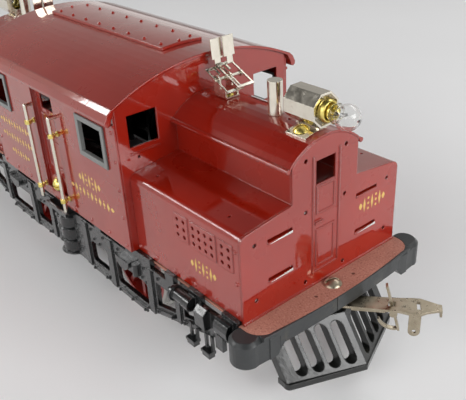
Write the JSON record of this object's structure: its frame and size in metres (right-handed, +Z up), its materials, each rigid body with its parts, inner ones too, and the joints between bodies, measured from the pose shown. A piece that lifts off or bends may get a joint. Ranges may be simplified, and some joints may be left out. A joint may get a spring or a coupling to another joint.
{
  "type": "model electric locomotive",
  "caption": "Toy steeple-cab electric locomotive with geared motor, spoked wheels, swinging couplers, hinged roof collectors and headlights at both ends.",
  "frame": {"origin": "under the middle of the locomotive, level with the wheel flange bottoms", "axes": "+X along the locomotive to end A, +Y to its right side, +Z up"},
  "size_m": [0.3122, 0.094, 0.116],
  "materials": {
    "red_enamel": "glossy baked enamel",
    "frame_grey": "satin grey paint",
    "nickel": "aged nickel plate",
    "brass": "bright brass",
    "clear_glass": "clear",
    "deck_red": "rough matt red",
    "beam_grey": "worn satin dark grey paint",
    "black_casting": "gloss black enamel",
    "wheel_red": "glossy red enamel with bright tread",
    "bright_steel": "oiled steel",
    "dark_steel": "dull laminated iron",
    "coil_wrap": "varnished tape",
    "fibre": "vulcanised fibre"
  },
  "bodies": {
    "locomotive": {"cab_side_l": "red_enamel", "cab_side_r": "red_enamel", "cab_end_a": "red_enamel", "cab_end_b": "red_enamel", "roof": "red_enamel", "roof_hatch": "red_enamel", "hood_a": "red_enamel", "hood_b": "red_enamel", "hood_cover_a": "red_enamel", "hood_cover_b": "red_enamel", "front_a": "red_enamel", "front_b": "red_enamel", "cab_door_l": "red_enamel", "cab_door_r": "red_enamel", "window_frames_l": "frame_grey", "window_frames_r": "frame_grey", "handrails_l": "nickel", "handrails_r": "nickel", "rail_stanchions": "brass", "headlight_a": "nickel", "headlight_b": "nickel", "lamp_socket_a": "brass", "lamp_socket_b": "brass", "bulb_a": "clear_glass", "bulb_b": "clear_glass", "whistle_a": "nickel", "whistle_b": "nickel", "collector_base_a": "nickel", "collector_base_b": "nickel", "platform_a": "deck_red", "platform_b": "deck_red", "bumper_a": "beam_grey", "bumper_b": "beam_grey", "pilot_a": "black_casting", "pilot_b": "black_casting", "frame_l": "black_casting", "frame_r": "black_casting", "brass_screws": "brass", "nickel_screws": "nickel", "motor_frame": "bright_steel", "motor_field": "dark_steel", "motor_coil": "coil_wrap", "pickup_plate": "fibre"},
    "armature": {"armature": "bright_steel"},
    "idler_a": {"idler_a": "bright_steel"},
    "idler_b": {"idler_b": "bright_steel"},
    "wheelset_a": {"axle_a": "bright_steel", "wheels_a": "wheel_red"},
    "wheelset_b": {"axle_b": "bright_steel", "wheels_b": "wheel_red"},
    "coupler_a": {"coupler_a": "nickel"},
    "coupler_b": {"coupler_b": "nickel"},
    "coupler_latch_a": {"coupler_latch_a": "nickel"},
    "coupler_latch_b": {"coupler_latch_b": "nickel"},
    "collector_a": {"collector_arm_a1": "nickel", "collector_arm_a2": "nickel"},
    "collector_b": {"collector_arm_b1": "nickel", "collector_arm_b2": "nickel"},
    "pickup_shoe_a": {"pickup_shoe_a": "bright_steel"},
    "pickup_shoe_b": {"pickup_shoe_b": "bright_steel"}
  },
  "joints": [
    {"name": "wheelset_a_spin", "type": "hinge", "parent": "locomotive", "child": "wheelset_a", "pos_m": [0.043, 0, 0.0215], "axis": [0, 1, 0], "continuous": true},
    {"name": "wheelset_b_spin", "type": "hinge", "parent": "locomotive", "child": "wheelset_b", "pos_m": [-0.043, 0, 0.0215], "axis": [0, 1, 0], "continuous": true},
    {"name": "armature_spin", "type": "hinge", "parent": "locomotive", "child": "armature", "pos_m": [0, 0, 0.0215], "axis": [0, 1, 0], "continuous": true},
    {"name": "idler_a_spin", "type": "hinge", "parent": "locomotive", "child": "idler_a", "pos_m": [0.0155, 0, 0.0215], "axis": [0, 1, 0], "continuous": true},
    {"name": "idler_b_spin", "type": "hinge", "parent": "locomotive", "child": "idler_b", "pos_m": [-0.0155, 0, 0.0215], "axis": [0, 1, 0], "continuous": true},
    {"name": "coupler_a_swing", "type": "hinge", "parent": "locomotive", "child": "coupler_a", "pos_m": [0.125, 0, 0.0303], "axis": [0, 0, 1], "range_deg": [-84, 6]},
    {"name": "coupler_latch_a_tip", "type": "hinge", "parent": "coupler_a", "child": "coupler_latch_a", "pos_m": [0.14202, 0.01378, 0.0289], "axis": [-0.6293, 0.7771, 0], "range_deg": [-10, 8]},
    {"name": "collector_a_raise", "type": "hinge", "parent": "locomotive", "child": "collector_a", "pos_m": [0.069, 0, 0.10245], "axis": [0, 1, 0], "range_deg": [-8, 8]},
    {"name": "pickup_shoe_a_lift", "type": "hinge", "parent": "locomotive", "child": "pickup_shoe_a", "pos_m": [0.011, 0, 0.0049], "axis": [0, 1, 0], "range_deg": [-8, 1.2]},
    {"name": "coupler_b_swing", "type": "hinge", "parent": "locomotive", "child": "coupler_b", "pos_m": [-0.125, 0, 0.0303], "axis": [0, 0, 1], "range_deg": [-84, 6]},
    {"name": "coupler_latch_b_tip", "type": "hinge", "parent": "coupler_b", "child": "coupler_latch_b", "pos_m": [-0.14202, -0.01378, 0.0289], "axis": [0.6293, -0.7771, 0], "range_deg": [-10, 8]},
    {"name": "collector_b_raise", "type": "hinge", "parent": "locomotive", "child": "collector_b", "pos_m": [-0.069, 0, 0.10245], "axis": [0, -1, 0], "range_deg": [-8, 8]},
    {"name": "pickup_shoe_b_lift", "type": "hinge", "parent": "locomotive", "child": "pickup_shoe_b", "pos_m": [-0.011, 0, 0.0049], "axis": [0, -1, 0], "range_deg": [-8, 1.2]}
  ],
  "couplings": [
    {"joint": "armature_spin", "follows": "wheelset_a_spin", "ratio": 3.6667},
    {"joint": "idler_a_spin", "follows": "wheelset_a_spin", "ratio": -1.5},
    {"joint": "idler_b_spin", "follows": "wheelset_a_spin", "ratio": -1.5},
    {"joint": "wheelset_b_spin", "follows": "wheelset_a_spin", "ratio": 1}
  ]
}
